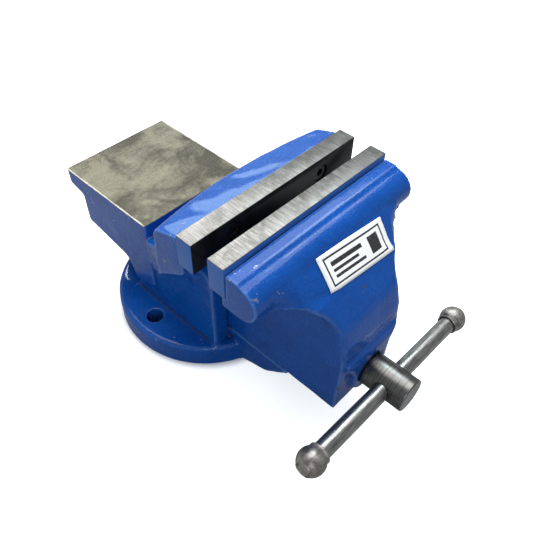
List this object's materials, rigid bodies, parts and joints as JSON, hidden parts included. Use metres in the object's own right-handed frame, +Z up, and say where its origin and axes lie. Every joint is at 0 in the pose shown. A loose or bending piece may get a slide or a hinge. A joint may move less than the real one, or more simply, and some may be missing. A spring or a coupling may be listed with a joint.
{
  "type": "bench vise",
  "caption": "Fixed-base engineer's bench vise: round bolt-down flange, rear anvil, wide jaws, sliding front jaw moved by a screw with a cross bar.",
  "frame": {"origin": "centre of the round base flange, on its underside", "axes": "+Y away from the operator, along the slide; +X to the operator's right; +Z up"},
  "size_m": [0.1814, 0.306, 0.163],
  "materials": {
    "enamel": "glossy blue enamel over cast iron, anvil face ground bare",
    "jaw_steel": "bare ground top, dark working face",
    "polished_steel": "turned and polished steel",
    "knob_steel": "dull brown-grey steel",
    "black_steel": "blackened steel",
    "bare_iron": "bare cast iron",
    "label": "white sticker with a thin black frame"
  },
  "bodies": {
    "base": {"fixed_body": "enamel", "rear_jaw_plate": "jaw_steel", "rear_plate_screw_left": "black_steel", "rear_plate_screw_right": "black_steel", "spindle_nut": "bare_iron", "nut_bolt": "polished_steel", "nut_bolt_washer": "polished_steel"},
    "jaw": {"moving_jaw": "enamel", "front_jaw_plate": "jaw_steel", "front_plate_screw_left": "black_steel", "front_plate_screw_right": "black_steel", "label": "label", "thrust_washer": "polished_steel"},
    "screw": {"spindle": "polished_steel", "spindle_spring": "black_steel", "spring_washer": "polished_steel", "split_pin": "polished_steel"},
    "handle": {"tommy_bar": "polished_steel", "handle_knob_left": "knob_steel", "handle_knob_right": "knob_steel"}
  },
  "joints": [
    {"name": "jaw_slide", "type": "slide", "parent": "base", "child": "jaw", "axis": [0, -1, 0], "range_m": [-0.0132, 0.105]},
    {"name": "spindle_turn", "type": "hinge", "parent": "jaw", "child": "screw", "pos_m": [0, -0.1833, 0.0545], "axis": [0, -1, 0], "range_deg": [-951, 7561]},
    {"name": "handle_slide", "type": "slide", "parent": "screw", "child": "handle", "axis": [0.9976, 0, -0.0691], "range_m": [-0.0598, 0.0612]}
  ],
  "couplings": [
    {"joint": "spindle_turn", "follows": "jaw_slide", "rad_per_m": 1256.6}
  ]
}
